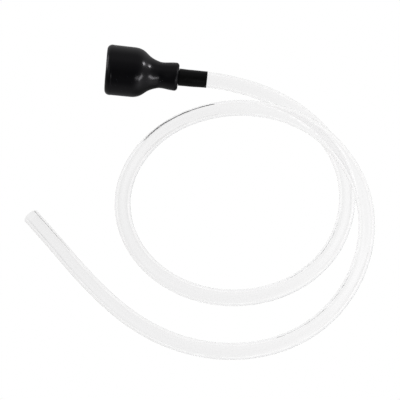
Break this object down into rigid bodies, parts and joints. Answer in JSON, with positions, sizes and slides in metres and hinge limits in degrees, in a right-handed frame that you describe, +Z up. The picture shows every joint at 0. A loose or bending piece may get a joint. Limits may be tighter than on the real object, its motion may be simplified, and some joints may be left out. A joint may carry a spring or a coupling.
{
  "type": "gravel vacuum siphon",
  "caption": "Aquarium gravel siphon: black bell-shaped suction head with a self-starting ball valve in its neck, on a long clear hose lying in one loose loop.",
  "frame": {"origin": "middle of the object's footprint, on the surface it lies on", "axes": "+Z up from that surface; +X runs along the bell's axis in plan, from its mouth towards the hose; the hose loop spreads towards -Y"},
  "size_m": [0.3512, 0.3355, 0.054],
  "materials": {
    "black_bell": "satin gloss moulded black",
    "grey_guard": "fine moulded matt",
    "soft_seal": "matt",
    "ball_plastic": "polished",
    "natural_plastic": "natural, unpigmented",
    "black_plastic": "fine moulded",
    "black_sleeve": "soft satin",
    "clear_hose": "clear flexible, smooth"
  },
  "bodies": {
    "hose_body": {"clear_hose": "clear_hose", "hose_sleeve": "black_sleeve", "hose_connector": "black_plastic", "connector_o_ring": "soft_seal"},
    "bell_body": {"suction_bell": "black_bell", "gravel_guard": "grey_guard", "valve_seat": "soft_seal", "valve_cage": "natural_plastic", "neck_ring": "black_plastic"},
    "ball_body": {"check_ball": "ball_plastic"}
  },
  "joints": [
    {"name": "bell_swivel", "type": "hinge", "parent": "hose_body", "child": "bell_body", "pos_m": [-0.03925, 0.14139, 0.023], "axis": [0.9976, 0, -0.0698], "continuous": true},
    {"name": "ball_stroke", "type": "slide", "parent": "bell_body", "child": "ball_body", "axis": [0.9976, 0, -0.0698], "range_m": [-0.00445, 0]}
  ]
}
